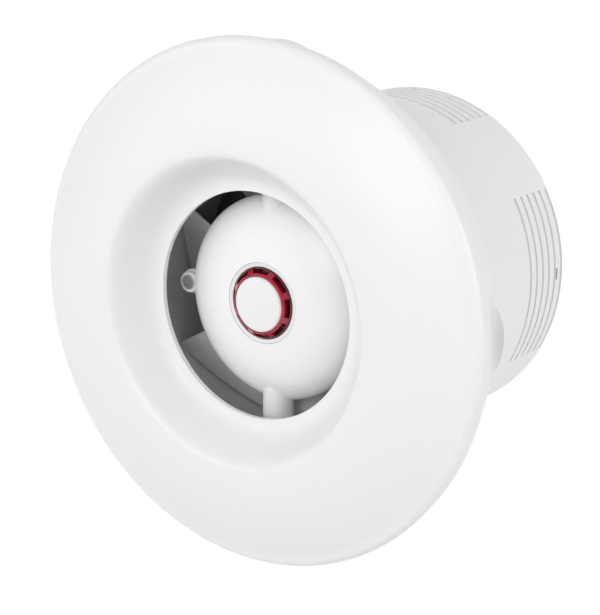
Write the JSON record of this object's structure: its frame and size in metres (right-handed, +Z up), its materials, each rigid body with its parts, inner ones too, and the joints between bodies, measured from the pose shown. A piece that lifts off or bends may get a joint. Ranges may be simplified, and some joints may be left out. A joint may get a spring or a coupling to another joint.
{
  "type": "heat recovery unit",
  "caption": "Wall-mounted single-room heat recovery unit with a bell-mouth fascia, lit push button, reversing axial fan and a honeycomb heat store in a grooved wall spigot.",
  "frame": {"origin": "centre of the base plate's wall face, on the fan's axis", "axes": "+Y along the spigot into the wall, -Y out of the fascia into the room, +Z up"},
  "size_m": [0.218, 0.1422, 0.218],
  "materials": {
    "white_shell": "smooth white moulded plastic with a soft sheen",
    "grey_plastic": "mid grey moulded plastic",
    "pale_plastic": "pale grey moulded plastic",
    "red_clear": "red translucent plastic",
    "black_plastic": "black plastic",
    "board": "black solder-masked circuit board",
    "lamp": "small surface lamps",
    "steel": "zinc-plated steel",
    "cast_metal": "die-cast metal",
    "lamination": "stacked electrical steel",
    "copper": "enamelled copper wire",
    "zinc_steel": "drawn zinc-plated steel",
    "magnet": "bonded ferrite",
    "filter_foam": "grey open-cell filter mat",
    "dark_foam": "dark closed-cell foam",
    "sleeve_foam": "white foamed plastic",
    "ceramic": "unglazed honeycomb ceramic",
    "ivory_plastic": "ivory plastic",
    "black_rubber": "black rubber"
  },
  "bodies": {
    "base": {"front_fascia": "white_shell", "base_plate": "white_shell", "wall_seal": "dark_foam", "spigot": "white_shell", "fan_housing": "grey_plastic", "housing_screws": "steel", "motor_carrier": "white_shell", "hub_dome": "white_shell", "dome_screws": "steel", "seat_ring": "pale_plastic", "indicator_ring": "red_clear", "tact_switch": "black_plastic", "control_board": "board", "board_screws": "steel", "board_lamps": "lamp", "board_chips": "black_plastic", "motor_base": "cast_metal", "motor_screws": "steel", "stator_core": "lamination", "stator_coils": "copper", "front_bearing": "steel", "rear_bearing": "steel", "front_filter": "filter_foam", "core_sleeve": "sleeve_foam", "core_seals": "dark_foam", "heat_core": "ceramic", "rear_filter": "filter_foam", "rear_grille": "white_shell", "air_sensor": "black_plastic", "power_module": "black_plastic", "module_screws": "steel", "terminal_block": "ivory_plastic", "terminal_screws": "steel", "cable_grommet": "black_rubber", "cable_clamp": "ivory_plastic", "clamp_screws": "steel"},
    "impeller": {"impeller": "grey_plastic", "rotor_bell": "zinc_steel", "rotor_magnet": "magnet", "motor_shaft": "steel"},
    "button": {"button_cap": "white_shell", "button_plunger": "black_plastic"}
  },
  "joints": [
    {"name": "impeller_spin", "type": "hinge", "parent": "base", "child": "impeller", "pos_m": [0, 0.012, 0], "axis": [0, 1, 0], "continuous": true},
    {"name": "button_press", "type": "slide", "parent": "base", "child": "button", "axis": [0, 1, 0], "range_m": [0, 0.0008], "stiffness_N_per_m": 400, "springref_m": -0.0005}
  ]
}
